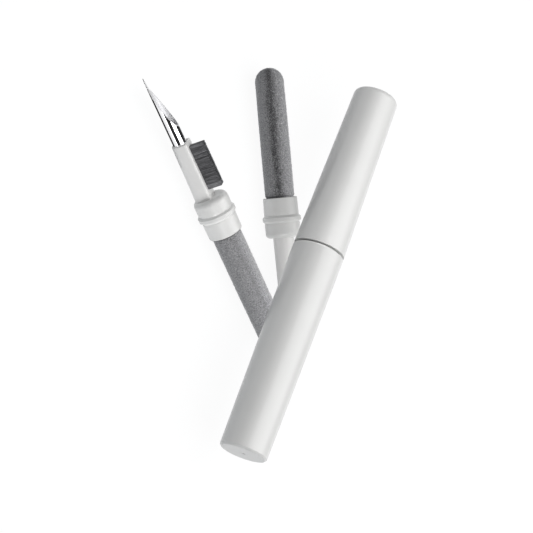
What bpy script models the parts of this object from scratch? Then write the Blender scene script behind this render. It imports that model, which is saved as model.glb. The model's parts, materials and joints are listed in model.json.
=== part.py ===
"""Cleaning pen for lenses and earbuds: a closed two-shell pen and two loose tools.

The pen is a short cap and a long barrel, pushed onto the collar of the tool stored
inside. Each tool has a flocked sponge on one end of its collar, and on the other a
plastic arm with a side brush and a metal scoop. The pen rests across the loose tools.

Metres, +Z up, the origin on the floor under the middle of the group. A tool's own
frame has its origin in the middle of the collar's bead, +Z along the tool towards the
scoop, and +X the way the bristles point. A shell's own frame has its mouth at the
origin and its closed end along +Z.
"""
import math

import bmesh
import bpy
from mathutils import Matrix, Vector

MM = 0.001
GAP = 0.3 * MM                     # clearance between neighbouring solids
EXTRA = 1.0 * MM                   # how far a cutter runs past the face it opens

# The pen
CAP_LENGTH = 54.1 * MM
BARREL_LENGTH = 66.1 * MM
SEAM_RADIUS = 8.0 * MM
CAP_END_RADIUS = 7.0 * MM
BARREL_END_RADIUS = 7.35 * MM
WALL = 1.4 * MM
END_WALL = 1.5 * MM
CAP_END_ROUNDING = 1.6 * MM
BARREL_END_BEVEL = 0.6 * MM
MOUTH_BEVEL = 0.25 * MM
SEAM_GAP = 0.3 * MM
DIMPLE_RADIUS = 0.7 * MM
DIMPLE_DEPTH = 0.4 * MM
DIMPLE_FLOOR = 0.7                 # the edge of its floor, as a share of its size

# The ribs inside each mouth, which grip the collar
RIB_COUNT = 6
RIB_INNER_RADIUS = 5.65 * MM
RIB_WIDTH = 1.0 * MM
RIB_START = 1.65 * MM              # past the collar's bead
RIB_LENGTH = 4.2 * MM

# The tool, along its own +Z
BEAD_HALF = 1.35 * MM
BEAD_RADIUS = 5.9 * MM
BEAD_STEPS = 6
BEAD_FULLNESS = 0.6                # 1 is a half wave, and less is a fuller ridge
COLLAR_TIP_END = 5.75 * MM
COLLAR_TIP_RADIUS = 5.35 * MM
COLLAR_SPONGE_END = -6.5 * MM
COLLAR_SPONGE_RADIUS = 5.3 * MM
COLLAR_RIM_RADIUS = 5.2 * MM
COLLAR_ROUNDING = 1.3 * MM
SPONGE_SOCKET_FLOOR = -2.8 * MM
STEM_SOCKET_FLOOR = 1.2 * MM
ARM_SOCKET_FLOOR = 2.2 * MM

ARM_END = COLLAR_TIP_END + 18.3 * MM
ARM_FRONT = 1.3 * MM               # the flat side that the bristles come out of
ARM_BACK_ROOT = -4.6 * MM
ARM_BACK_END = -3.9 * MM
ARM_HALF_ROOT = 3.45 * MM
ARM_HALF_END = 3.0 * MM
ARM_EDGE = 0.35 * MM
ARM_EDGE_ANGLE = 50.0              # degrees: only corners sharper than this are bevelled

BRUSH_START = COLLAR_TIP_END + 2.5 * MM
BRUSH_END = BRUSH_START + 14.2 * MM
BRUSH_HALF = 1.35 * MM
BRUSH_REACH = 5.7 * MM
BRUSH_SLOT_DEPTH = 1.9 * MM
BRUSH_BASE_THICKNESS = 0.9 * MM

SCOOP_RADIUS = 2.1 * MM
SCOOP_WALL = 0.35 * MM
SCOOP_OFFSET = -1.3 * MM           # its axis lies towards the arm's back
SCOOP_END = ARM_END + 22.0 * MM
SCOOP_PEG_LENGTH = 4.2 * MM
CUT_START = 0.23                   # the quill cut, as shares of the scoop's length
CUT_NEEDLE = 0.85
CUT_DEPTH = 1.97                   # as a multiple of the scoop's radius
CUT_CURVE = 0.8
NEEDLE_END = -0.995

STEM_RADIUS = 2.0 * MM
STEM_EDGE = 0.5 * MM
STEM_END = -36.0 * MM
SPONGE_RADIUS = 4.6 * MM
SPONGE_END = -46.1 * MM

# Where things lie: heading from +X, pitch of the axis, roll about it, in degrees
PEN_SEAM = Vector((28.14, 6.01, 18.20)) * MM
PEN_PITCH = -1.5
PEN_ROLL = 180.0
LEFT_BEAD = Vector((-3.20, 2.63, 5.90)) * MM
LEFT_HEADING, LEFT_PITCH, LEFT_ROLL = 148.8, 1.6, -148.2
RIGHT_BEAD = Vector((20.27, 13.55, 5.89)) * MM
RIGHT_HEADING, RIGHT_PITCH, RIGHT_ROLL = -56.9, -0.5, 41.7

ROUND_STEPS = 48
SMALL_STEPS = 28
ARC_STEPS = 5
SHARP_ANGLE = 35.0                 # degrees between faces, for shading


def clear_scene():
    """Remove whatever the scene held."""
    for obj in list(bpy.data.objects):
        bpy.data.objects.remove(obj, do_unlink=True)


def make_collection(name):
    """A new collection in the scene."""
    collection = bpy.data.collections.new(name)
    bpy.context.scene.collection.children.link(collection)
    return collection


def make_material(name, colour, roughness, metallic=0.0):
    """A Principled material of one colour."""
    material = bpy.data.materials.new(name)
    material.use_nodes = True
    shader = material.node_tree.nodes["Principled BSDF"]
    shader.inputs["Base Color"].default_value = (*colour, 1.0)
    shader.inputs["Roughness"].default_value = roughness
    shader.inputs["Metallic"].default_value = metallic
    material.diffuse_color = (*colour, 1.0)
    return material


def add_object(name, mesh, collection, parent=None, material=None):
    """An object for a mesh, under a parent empty."""
    obj = bpy.data.objects.new(name, mesh)
    collection.objects.link(obj)
    obj.parent = parent
    if material:
        mesh.materials.append(material)
        mesh.shade_smooth()
        mesh.set_sharp_from_angle(angle=math.radians(SHARP_ANGLE))
    return obj


def add_cutter(name, mesh, parent):
    """A helper solid, for a Boolean modifier."""
    cutter = add_object(name, mesh, CUTTERS, parent)
    cutter.hide_render = True
    cutter.display_type = "WIRE"
    return cutter


def boolean(obj, other, operation):
    """Join or cut an object with a helper solid."""
    modifier = obj.modifiers.new(other.name, "BOOLEAN")
    modifier.operation = operation
    modifier.solver = "EXACT"
    modifier.object = other


def outline_mesh(name, points, closed=False):
    """A chain of edges through (x, z) points."""
    mesh = bpy.data.meshes.new(name)
    count = len(points)
    edges = [(i, i + 1) for i in range(count - 1)]
    if closed:
        edges.append((count - 1, 0))
    mesh.from_pydata([(x, 0.0, z) for x, z in points], edges, [])
    return mesh


def turned(name, points, collection, parent, material=None, steps=ROUND_STEPS, closed=False):
    """A profile turned about the local Z axis with a Screw modifier."""
    obj = add_object(name, outline_mesh(name, points, closed), collection, parent)
    if material:
        obj.data.materials.append(material)
    screw = obj.modifiers.new("Turn", "SCREW")
    screw.axis = "Z"
    screw.angle = math.tau
    screw.steps = steps
    screw.render_steps = steps
    screw.use_merge_vertices = True
    screw.merge_threshold = 0.00001
    screw.use_smooth_shade = True
    return obj


def arc(centre, radius, start, end, steps=ARC_STEPS):
    """Points of an arc in the (x, z) plane, with angles in degrees from +X."""
    points = []
    for i in range(steps + 1):
        angle = math.radians(start + (end - start) * i / steps)
        points.append((centre[0] + radius * math.cos(angle), centre[1] + radius * math.sin(angle)))
    return points


def box_mesh(name, low, high):
    """A box between two corners."""
    mesh = bpy.data.meshes.new(name)
    shape = bmesh.new()
    size = [high[i] - low[i] for i in range(3)]
    middle = [(high[i] + low[i]) / 2 for i in range(3)]
    place = Matrix.Translation(middle) @ Matrix.Diagonal((*size, 1.0))
    bmesh.ops.create_cube(shape, size=1.0, matrix=place)
    shape.to_mesh(mesh)
    shape.free()
    return mesh


def prism_mesh(name, points, direction, length):
    """A flat polygon of 3-D points, swept straight along a direction."""
    mesh = bpy.data.meshes.new(name)
    shape = bmesh.new()
    face = shape.faces.new([shape.verts.new(p) for p in points])
    swept = bmesh.ops.extrude_face_region(shape, geom=[face])
    ends = [item for item in swept["geom"] if isinstance(item, bmesh.types.BMVert)]
    bmesh.ops.translate(shape, verts=ends, vec=Vector(direction) * length)
    bmesh.ops.recalc_face_normals(shape, faces=shape.faces)
    shape.to_mesh(mesh)
    shape.free()
    return mesh


def add_empty(name, matrix, parent=None):
    """A parent empty at a place."""
    empty = bpy.data.objects.new(name, None)
    empty.empty_display_size = 0.01
    PEN_SET.objects.link(empty)
    empty.parent = parent
    empty.matrix_world = matrix
    return empty


def axis_frame(place, heading, pitch, roll):
    """A frame at a place whose +Z runs along a heading, raised by a pitch, then rolled."""
    turn = Matrix.Rotation(math.radians(heading), 4, "Z")
    lean = Matrix.Rotation(math.radians(90.0 - pitch), 4, "Y")
    spin = Matrix.Rotation(math.radians(roll), 4, "Z")
    return Matrix.Translation(place) @ turn @ lean @ spin


# The two shells

def shell_profile(length, end_radius, end_outline):
    """A shell's half section: the outside from the closed end down, then the bore back up."""
    bore_mouth = SEAM_RADIUS - WALL
    bore_end = end_radius - WALL
    return end_outline + [
        (SEAM_RADIUS, MOUTH_BEVEL),
        (SEAM_RADIUS - MOUTH_BEVEL, 0.0),
        (bore_mouth, 0.0),
        (bore_end, length - END_WALL - 1.0 * MM),
        (bore_end - 1.0 * MM, length - END_WALL),
        (0.0, length - END_WALL),
    ]


def rib_helper(name, parent):
    """The short ribs that stand inside a shell's mouth, as one helper mesh."""
    mesh = bpy.data.meshes.new(name)
    shape = bmesh.new()
    outer = SEAM_RADIUS - WALL / 2
    size = (outer - RIB_INNER_RADIUS, RIB_WIDTH, RIB_LENGTH)
    middle = ((outer + RIB_INNER_RADIUS) / 2, 0.0, RIB_START + RIB_LENGTH / 2)
    for i in range(RIB_COUNT):
        turn = Matrix.Rotation(math.tau * (i + 0.5) / RIB_COUNT, 4, "Z")
        place = turn @ Matrix.Translation(middle) @ Matrix.Diagonal((*size, 1.0))
        bmesh.ops.create_cube(shape, size=1.0, matrix=place)
    shape.to_mesh(mesh)
    shape.free()
    return add_cutter(name, mesh, parent)


def make_cap(parent):
    """The short shell, with a rounded end."""
    centre = (CAP_END_RADIUS - CAP_END_ROUNDING, CAP_LENGTH - CAP_END_ROUNDING)
    end = [(0.0, CAP_LENGTH)] + arc(centre, CAP_END_ROUNDING, 90, 0)
    profile = shell_profile(CAP_LENGTH, CAP_END_RADIUS, end)
    cap = turned("cap_shell", profile, PEN_SET, parent, SHELL_WHITE)
    boolean(cap, rib_helper("cap_ribs", parent), "UNION")


def make_barrel(parent):
    """The long shell, with a flat end and a small dimple in the middle of it."""
    end = [
        (0.0, BARREL_LENGTH - DIMPLE_DEPTH),
        (DIMPLE_RADIUS * DIMPLE_FLOOR, BARREL_LENGTH - DIMPLE_DEPTH * DIMPLE_FLOOR),
        (DIMPLE_RADIUS, BARREL_LENGTH),
        (BARREL_END_RADIUS - BARREL_END_BEVEL, BARREL_LENGTH),
        (BARREL_END_RADIUS, BARREL_LENGTH - BARREL_END_BEVEL),
    ]
    profile = shell_profile(BARREL_LENGTH, BARREL_END_RADIUS, end)
    barrel = turned("barrel_shell", profile, PEN_SET, parent, SHELL_WHITE)
    boolean(barrel, rib_helper("barrel_ribs", parent), "UNION")


# The tool's pieces

def arm_outline(half, back, front, grow=0.0):
    """The arm's D section, as (x, y) points: a flat front, two sides and a round back."""
    round_depth = min(half, front - back)
    middle = back + round_depth
    points = [(front + grow, -half - grow), (front + grow, half + grow)]
    for i in range(2 * ARC_STEPS + 1):
        angle = math.radians(90 + 180 * i / (2 * ARC_STEPS))
        points.append((middle + (round_depth + grow) * math.cos(angle), (half + grow) * math.sin(angle)))
    return points


def arm_mesh(name, start, end, grow=0.0):
    """The arm, tapered from its root to its end by a loft between two D sections."""
    mesh = bpy.data.meshes.new(name)
    shape = bmesh.new()
    rings = []
    for z in (start, end):
        share = (z - COLLAR_TIP_END) / (ARM_END - COLLAR_TIP_END)
        half = ARM_HALF_ROOT + (ARM_HALF_END - ARM_HALF_ROOT) * share
        back = ARM_BACK_ROOT + (ARM_BACK_END - ARM_BACK_ROOT) * share
        outline = arm_outline(half, back, ARM_FRONT, grow)
        rings.append([shape.verts.new((x, y, z)) for x, y in outline])
    for ring in rings:
        shape.faces.new(ring)
    bmesh.ops.bridge_loops(shape, edges=[e for e in shape.edges])
    bmesh.ops.recalc_face_normals(shape, faces=shape.faces)
    shape.to_mesh(mesh)
    shape.free()
    return mesh


def make_collar(tool, parent):
    """The ring that joins the tool's two ends and plugs into both shells."""
    centre = (COLLAR_TIP_RADIUS - COLLAR_ROUNDING, COLLAR_TIP_END - COLLAR_ROUNDING)
    profile = [(0.0, COLLAR_TIP_END)] + arc(centre, COLLAR_ROUNDING, 90, 0, 4)
    profile.append((COLLAR_TIP_RADIUS, BEAD_HALF))
    bead_height = BEAD_RADIUS - COLLAR_SPONGE_RADIUS
    for i in range(1, BEAD_STEPS):
        angle = math.pi * i / BEAD_STEPS
        profile.append((COLLAR_SPONGE_RADIUS + bead_height * math.sin(angle) ** BEAD_FULLNESS,
                        BEAD_HALF * math.cos(angle)))
    profile += [
        (COLLAR_SPONGE_RADIUS, -BEAD_HALF),
        (COLLAR_RIM_RADIUS, COLLAR_SPONGE_END),
        (SPONGE_RADIUS + GAP, COLLAR_SPONGE_END),
        (SPONGE_RADIUS + GAP, SPONGE_SOCKET_FLOOR),
        (STEM_RADIUS + GAP, SPONGE_SOCKET_FLOOR),
        (STEM_RADIUS + GAP, STEM_SOCKET_FLOOR),
        (0.0, STEM_SOCKET_FLOOR),
    ]
    collar = turned(tool + "_collar", profile, PEN_SET, parent, COLLAR_WHITE)
    name = tool + "_arm_socket"
    socket = add_cutter(name, arm_mesh(name, ARM_SOCKET_FLOOR, COLLAR_TIP_END + EXTRA, GAP), parent)
    boolean(collar, socket, "DIFFERENCE")


def make_arm(tool, parent):
    """The D-section arm, with a slot for the brush and a peg for the scoop."""
    name = tool + "_arm"
    mesh = arm_mesh(name, ARM_SOCKET_FLOOR + GAP, ARM_END)
    arm = add_object(name, mesh, PEN_SET, parent, ARM_WHITE)
    bevel = arm.modifiers.new("Edges", "BEVEL")
    bevel.width = ARM_EDGE
    bevel.segments = 2
    bevel.angle_limit = math.radians(ARM_EDGE_ANGLE)
    low = (ARM_FRONT - BRUSH_SLOT_DEPTH, -BRUSH_HALF - GAP, BRUSH_START - GAP)
    high = (ARM_FRONT + EXTRA, BRUSH_HALF + GAP, BRUSH_END + GAP)
    slot = add_cutter(tool + "_brush_slot", box_mesh(tool + "_brush_slot", low, high), parent)
    boolean(arm, slot, "DIFFERENCE")
    radius = SCOOP_RADIUS - SCOOP_WALL - GAP
    profile = [
        (0.0, ARM_END + SCOOP_PEG_LENGTH),
        (radius, ARM_END + SCOOP_PEG_LENGTH),
        (radius, ARM_END - EXTRA),
        (0.0, ARM_END - EXTRA),
    ]
    peg = turned(tool + "_peg", profile, CUTTERS, parent, steps=SMALL_STEPS)
    peg.hide_render = True
    peg.display_type = "WIRE"
    peg.location.x = SCOOP_OFFSET
    boolean(arm, peg, "UNION")


def make_brush(tool, parent):
    """The brush: its strip in the arm's slot, and the block of bristles on it."""
    base_low = ARM_FRONT - BRUSH_SLOT_DEPTH + GAP
    base_high = base_low + BRUSH_BASE_THICKNESS
    mesh = box_mesh(tool + "_brush_base", (base_low, -BRUSH_HALF, BRUSH_START),
                    (base_high, BRUSH_HALF, BRUSH_END))
    add_object(tool + "_brush_base", mesh, PEN_SET, parent, BRUSH_STRIP)
    mesh = box_mesh(tool + "_brush_bristles", (base_high + GAP, -BRUSH_HALF, BRUSH_START),
                    (BRUSH_REACH, BRUSH_HALF, BRUSH_END))
    add_object(tool + "_brush_bristles", mesh, PEN_SET, parent, BRISTLE_GREY)


def cut_height(share):
    """The quill cut's height over the scoop's axis, in radii, at a share of its length."""
    if share < CUT_NEEDLE:
        along = (share - CUT_START) / (CUT_NEEDLE - CUT_START)
        return 1.0 - CUT_DEPTH * along ** CUT_CURVE
    along = (share - CUT_NEEDLE) / (1.0 - CUT_NEEDLE)
    start = 1.0 - CUT_DEPTH
    return start + (NEEDLE_END - start) * along


def make_scoop(tool, parent):
    """The metal tube, cut like a quill into an open scoop that ends in a needle."""
    root = ARM_END + GAP
    inner = SCOOP_RADIUS - SCOOP_WALL
    profile = [(SCOOP_RADIUS, SCOOP_END), (SCOOP_RADIUS, root), (inner, root), (inner, SCOOP_END)]
    scoop = turned(tool + "_metal_scoop", profile, PEN_SET, parent, STEEL, SMALL_STEPS, closed=True)
    scoop.location.x = SCOOP_OFFSET
    length = SCOOP_END - ARM_END
    half_width = SCOOP_RADIUS + EXTRA
    points = []
    steps = 3 * ARC_STEPS
    for i in range(steps + 1):
        share = CUT_START + (1.0 - CUT_START) * i / steps
        points.append((cut_height(share) * SCOOP_RADIUS, -half_width, ARM_END + length * share))
    last = points[-1]
    points.append((last[0], -half_width, SCOOP_END + EXTRA))
    points.append((SCOOP_RADIUS + EXTRA, -half_width, SCOOP_END + EXTRA))
    points.append((SCOOP_RADIUS + EXTRA, -half_width, ARM_END + length * CUT_START - EXTRA))
    name = tool + "_quill_cut"
    cutter = add_cutter(name, prism_mesh(name, points, (0, 1, 0), 2 * half_width), parent)
    cutter.location.x = SCOOP_OFFSET
    boolean(scoop, cutter, "DIFFERENCE")


def make_stem(tool, parent):
    """The rod that carries the sponge."""
    profile = [
        (0.0, STEM_SOCKET_FLOOR - GAP),
        (STEM_RADIUS, STEM_SOCKET_FLOOR - GAP),
        (STEM_RADIUS, STEM_END + STEM_EDGE),
        (STEM_RADIUS - STEM_EDGE, STEM_END),
        (0.0, STEM_END),
    ]
    turned(tool + "_sponge_stem", profile, PEN_SET, parent, COLLAR_WHITE, SMALL_STEPS)


def make_sponge(tool, parent):
    """The flocked sponge: a sleeve round the stem with a round end."""
    bore = STEM_RADIUS + GAP
    root = SPONGE_SOCKET_FLOOR - GAP
    profile = [
        (0.0, STEM_END - GAP),
        (bore, STEM_END - GAP),
        (bore, root),
        (SPONGE_RADIUS, root),
    ]
    profile += arc((0.0, SPONGE_END + SPONGE_RADIUS), SPONGE_RADIUS, 0, -90, 7)
    turned(tool + "_flocked_sponge", profile, PEN_SET, parent, FLOCK_GREY, SMALL_STEPS)


def make_tool(tool, matrix):
    """One whole tool under its own empty."""
    parent = add_empty(tool + "_tool", matrix)
    make_collar(tool, parent)
    make_arm(tool, parent)
    make_brush(tool, parent)
    make_scoop(tool, parent)
    make_stem(tool, parent)
    make_sponge(tool, parent)


def make_pen():
    """The two shells, mouth to mouth over the collar of the stored tool."""
    pen = axis_frame(PEN_SEAM, -90.0, PEN_PITCH, PEN_ROLL)
    to_barrel = Matrix.Translation((0.0, 0.0, SEAM_GAP / 2))
    to_cap = Matrix.Rotation(math.pi, 4, "Y") @ to_barrel
    make_barrel(add_empty("barrel", pen @ to_barrel))
    make_cap(add_empty("cap", pen @ to_cap))
    make_tool("stored", pen)


clear_scene()
PEN_SET = make_collection("lens_cleaning_pen")
CUTTERS = make_collection("cutters")
SHELL_WHITE = make_material("shell_white", (0.80, 0.80, 0.79), 0.35)
COLLAR_WHITE = make_material("collar_white", (0.78, 0.78, 0.77), 0.40)
ARM_WHITE = make_material("arm_white", (0.80, 0.80, 0.79), 0.38)
BRUSH_STRIP = make_material("brush_strip", (0.07, 0.07, 0.08), 0.60)
BRISTLE_GREY = make_material("bristle_grey", (0.10, 0.10, 0.11), 0.70)
STEEL = make_material("steel", (0.75, 0.75, 0.76), 0.08, 1.0)
FLOCK_GREY = make_material("flock_grey", (0.20, 0.20, 0.21), 0.95)
make_pen()
make_tool("left", axis_frame(LEFT_BEAD, LEFT_HEADING, LEFT_PITCH, LEFT_ROLL))
make_tool("right", axis_frame(RIGHT_BEAD, RIGHT_HEADING, RIGHT_PITCH, RIGHT_ROLL))
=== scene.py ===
"""Looks for the lens cleaning pen: each piece is turned, lofted or grown where the frame has it.

A tool's own frame has its origin in the middle of the collar's bead, +Z along the tool towards
the scoop and +X the way its bristles point. The pen shares the stored tool's frame. A shell's
own frame has its mouth at the origin and its closed end along +Z. Local sizes are in mm.
"""
import json
import math

import bmesh
import bpy
import numpy as np
from mathutils import Matrix, Vector, noise

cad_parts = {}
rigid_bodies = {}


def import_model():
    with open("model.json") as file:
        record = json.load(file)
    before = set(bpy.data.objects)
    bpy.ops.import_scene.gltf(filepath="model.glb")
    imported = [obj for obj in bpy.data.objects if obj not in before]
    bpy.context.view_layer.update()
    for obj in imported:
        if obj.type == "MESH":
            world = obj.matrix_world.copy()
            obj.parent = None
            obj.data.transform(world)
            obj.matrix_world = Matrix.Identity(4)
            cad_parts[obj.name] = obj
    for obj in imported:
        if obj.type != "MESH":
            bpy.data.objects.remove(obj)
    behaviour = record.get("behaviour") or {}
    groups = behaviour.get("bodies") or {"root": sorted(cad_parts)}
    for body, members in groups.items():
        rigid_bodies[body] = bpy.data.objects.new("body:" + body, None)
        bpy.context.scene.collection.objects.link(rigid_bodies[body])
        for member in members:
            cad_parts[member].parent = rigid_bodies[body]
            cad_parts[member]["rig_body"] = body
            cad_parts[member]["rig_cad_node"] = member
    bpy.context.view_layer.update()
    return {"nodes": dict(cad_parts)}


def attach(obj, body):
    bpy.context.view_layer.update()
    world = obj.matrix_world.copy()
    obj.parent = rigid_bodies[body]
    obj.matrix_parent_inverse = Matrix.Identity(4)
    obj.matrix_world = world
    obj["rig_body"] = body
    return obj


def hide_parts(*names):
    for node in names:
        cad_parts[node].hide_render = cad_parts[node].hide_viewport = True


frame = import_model()

MM = 0.001
TOOLS = {"stored": "stored_tool", "left": "left_tool", "right": "right_tool"}

CAMERA_AZIMUTH, CAMERA_ELEVATION, CAMERA_ROLL = -60.45, 48.3, -87.1
CAMERA_DISTANCE = 0.5414
CAMERA_LENS = 121.6
CAMERA_AIM = Vector((0.01939, -0.00340, 0.008))
FLOOR_GLOW = 0.88                  # how much of the floor's look is its own pale glow

# Where painted shade darkens each sponge's flock in a strip, in degrees about the axis from the
# brush's side, and how strong it is
SHADE_STRIP = {"stored": (90.0, 1.0), "left": (-50.0, 0.4), "right": (182.0, 1.0)}


# Where the frame has things

BEAD_BAND = 2e-5                   # metres in from the widest corners that still count as the bead


def node_points(node):
    """The distinct corners of a CAD node at rest, in metres."""
    corners = np.array([v.co for v in frame["nodes"][node].data.vertices], float)
    return np.unique(np.round(corners, 6), axis=0)


def unit(vector):
    """A numpy vector scaled to length one."""
    return vector / np.linalg.norm(vector)


def tool_frame(tool):
    """A tool's own frame, from the stem's axis, the collar's bead and the brush's side."""
    stem = node_points(tool + "_sponge_stem")
    middle = stem.mean(0)
    axis = unit(np.linalg.svd(stem - middle)[2][0])
    if (node_points(tool + "_metal_scoop").mean(0) - middle) @ axis < 0:
        axis = -axis
    collar = node_points(tool + "_collar") - middle
    along = collar @ axis
    radius = np.linalg.norm(collar - np.outer(along, axis), axis=1)
    bead = middle + axis * along[radius > radius.max() - BEAD_BAND].mean()
    side = node_points(tool + "_brush_bristles").mean(0) - bead
    side = unit(side - axis * (side @ axis))
    matrix = np.eye(4)
    matrix[:3, 0], matrix[:3, 1], matrix[:3, 2] = side, np.cross(axis, side), axis
    matrix[:3, 3] = bead
    return Matrix(matrix.tolist())


def local_points(node, matrix):
    """A node's corners in a local frame, in mm, with their distances from its Z axis."""
    inverse = np.array(matrix.inverted())
    points = (node_points(node) @ inverse[:3, :3].T + inverse[:3, 3]) / MM
    return points, np.hypot(points[:, 0], points[:, 1])


def span(node, matrix):
    """A node's lowest and highest local corners, in mm."""
    points, _ = local_points(node, matrix)
    return points.min(0), points.max(0)


# Mesh building

def rounded(corners, steps=6, guard=0.12):
    """A profile of (r, z, rounding) corners, with the rounded ones turned into arcs.

    A guard is a support point just outside each end of an arc, so that the shading stays even.
    """
    profile = []
    for i, (r, z, rounding) in enumerate(corners):
        here = Vector((r, z))
        if not rounding:
            profile.append(tuple(here))
            continue
        back = (Vector(corners[i - 1][:2]) - here).normalized()
        ahead = (Vector(corners[i + 1][:2]) - here).normalized()
        half = back.angle(ahead) / 2
        sweep = math.pi - 2 * half
        reach = rounding / math.tan(half)
        centre = here + (back + ahead).normalized() * rounding / math.sin(half)
        start, end = here + back * reach - centre, here + ahead * reach - centre
        if guard:
            profile.append(tuple(centre + start + back * guard))
        for k in range(steps + 1):
            turn = k / steps * sweep
            mixed = (start * math.sin(sweep - turn) + end * math.sin(turn))
            profile.append(tuple(centre + mixed / math.sin(sweep)))
        if guard:
            profile.append(tuple(centre + end + ahead * guard))
    return profile


def turned(profile, steps=144, shape=None):
    """Corners and faces of a profile turned about Z. Its two ends lie on the axis."""
    verts, faces, rings = [], [], []
    for r, z in profile:
        if r < 1e-6:
            rings.append([len(verts)] * steps)
            verts.append((0.0, 0.0, z))
            continue
        rings.append(list(range(len(verts), len(verts) + steps)))
        for k in range(steps):
            angle = math.tau * k / steps
            reach = shape(r, z, angle) if shape else r
            verts.append((reach * math.cos(angle), reach * math.sin(angle), z))
    for low, high in zip(rings, rings[1:]):
        for k in range(steps):
            corners = [low[k], low[(k + 1) % steps], high[(k + 1) % steps], high[k]]
            faces.append(list(dict.fromkeys(corners)))
    return verts, faces


def lofted(rings):
    """Corners and faces of a closed skin through rings of points, with flat ends."""
    count = len(rings[0])
    verts = [point for ring in rings for point in ring]
    faces = [list(range(count)), list(range(len(verts) - count, len(verts)))]
    for i in range(len(rings) - 1):
        for k in range(count):
            n = (k + 1) % count
            faces.append([i * count + k, i * count + n, (i + 1) * count + n, (i + 1) * count + k])
    return verts, faces


def box(low, high):
    """Corners and faces of a box."""
    ring = [(low[0], low[1]), (high[0], low[1]), (high[0], high[1]), (low[0], high[1])]
    return lofted([[(x, y, z) for x, y in ring] for z in (low[2], high[2])])


def moved(shape, x):
    """A shape moved along X."""
    verts, faces = shape
    return [(vert[0] + x, vert[1], vert[2]) for vert in verts], faces


def tidy_mesh(name, verts, faces):
    """A mesh with doubled corners joined and its faces turned outwards."""
    mesh = bpy.data.meshes.new(name)
    mesh.from_pydata(verts, [], faces)
    shape = bmesh.new()
    shape.from_mesh(mesh)
    bmesh.ops.remove_doubles(shape, verts=shape.verts, dist=1e-4)
    bmesh.ops.recalc_face_normals(shape, faces=shape.faces)
    shape.to_mesh(mesh)
    shape.free()
    return mesh


def carved(solid, *cutters):
    """Corners and faces of a solid with others cut out of it."""
    target = bpy.data.objects.new("solid", tidy_mesh("solid", *solid))
    bpy.context.scene.collection.objects.link(target)
    helpers = []
    for cutter in cutters:
        helper = bpy.data.objects.new("cutter", tidy_mesh("cutter", *cutter))
        bpy.context.scene.collection.objects.link(helper)
        modifier = target.modifiers.new("Cut", "BOOLEAN")
        modifier.operation = "DIFFERENCE"
        modifier.solver = "EXACT"
        modifier.object = helper
        helpers.append(helper)
    result = target.evaluated_get(bpy.context.evaluated_depsgraph_get()).to_mesh()
    verts = [tuple(v.co) for v in result.vertices]
    faces = [list(p.vertices) for p in result.polygons]
    for obj in (target, *helpers):
        bpy.data.objects.remove(obj)
    return verts, faces


def place(name, shape, matrix, material, body, crease=32):
    """A piece in its place in the row frame, with its local corners kept for its material."""
    mesh = tidy_mesh(name, *shape)
    local = np.empty(len(mesh.vertices) * 3, np.float32)
    mesh.vertices.foreach_get("co", local)
    attribute = mesh.attributes.new("local", "FLOAT_VECTOR", "POINT")
    attribute.data.foreach_set("vector", local)
    mesh.transform(matrix @ Matrix.Scale(MM, 4))
    mesh.materials.append(material)
    mesh.shade_smooth()
    mesh.set_sharp_from_angle(angle=math.radians(crease))
    piece = bpy.data.objects.new(name, mesh)
    bpy.context.scene.collection.objects.link(piece)
    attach(piece, body)
    return piece


# Materials

# How bright the brush's tufts are, at shares of its length from the collar's end: the dips by the
# partings are painted shade, and the pale band at the collar's end is partly painted light
TUFT_TONES_AND_SHADE = ((0.0, 2.0), (0.09, 1.9), (0.12, 0.75), (0.2, 1.0), (0.68, 0.9), (0.71, 0.6),
              (0.74, 1.25), (1.0, 1.1))


def new_material(name):
    """A material, its node tree and its shader."""
    material = bpy.data.materials.new(name)
    material.use_nodes = True
    return material, material.node_tree, material.node_tree.nodes["Principled BSDF"]


def add_node(tree, kind, inputs=(), **settings):
    """A node with some settings, and inputs that are sockets or constants."""
    node = tree.nodes.new("ShaderNode" + kind)
    for key, value in settings.items():
        setattr(node, key, value)
    for key, value in dict(inputs).items():
        if isinstance(value, bpy.types.NodeSocket):
            tree.links.new(value, node.inputs[key])
        else:
            node.inputs[key].default_value = value
    return node


def local_place(tree, stretch=(1.0, 1.0, 1.0)):
    """Local coordinates in mm, squeezed along some axes."""
    spot = add_node(tree, "Attribute", attribute_name="local").outputs["Vector"]
    return add_node(tree, "Mapping", {"Vector": spot, "Scale": stretch}).outputs[0]


def noise_value(tree, place_socket, scale, detail=2.0, roughness=0.5):
    """A noise pattern, from 0 to 1."""
    inputs = {"Vector": place_socket, "Scale": scale, "Detail": detail, "Roughness": roughness}
    return add_node(tree, "TexNoise", inputs).outputs["Fac"]


def ramp(tree, value, *stops):
    """A colour ramp over a value, from (position, colour) stops."""
    node = add_node(tree, "ValToRGB", {"Fac": value})
    elements = node.color_ramp.elements
    elements.remove(elements[1])
    elements[0].position, elements[0].color = stops[0][0], (*stops[0][1], 1.0)
    for position, colour in stops[1:]:
        elements.new(position).color = (*colour, 1.0)
    return node.outputs["Color"]


def between(tree, value, low, high, start=0.0, end=1.0):
    """A value's range from start to end mapped to low and high."""
    inputs = {"Value": value, "From Min": start, "From Max": end, "To Min": low, "To Max": high}
    return add_node(tree, "MapRange", inputs).outputs["Result"]


def maths(tree, operation, *values):
    """A Math node's result, over sockets and constants."""
    return add_node(tree, "Math", dict(enumerate(values)), operation=operation).outputs[0]


def vectors(tree, operation, *values):
    """A Vector Math node's outputs, over sockets and constants."""
    return add_node(tree, "VectorMath", dict(enumerate(values)), operation=operation).outputs


def times(tree, first, second):
    """Two colours multiplied."""
    inputs = {0: 1.0, 6: first, 7: second}
    return add_node(tree, "Mix", inputs, data_type="RGBA", blend_type="MULTIPLY").outputs[2]


def grey(level):
    """A neutral colour."""
    return (level, level, level)


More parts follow.
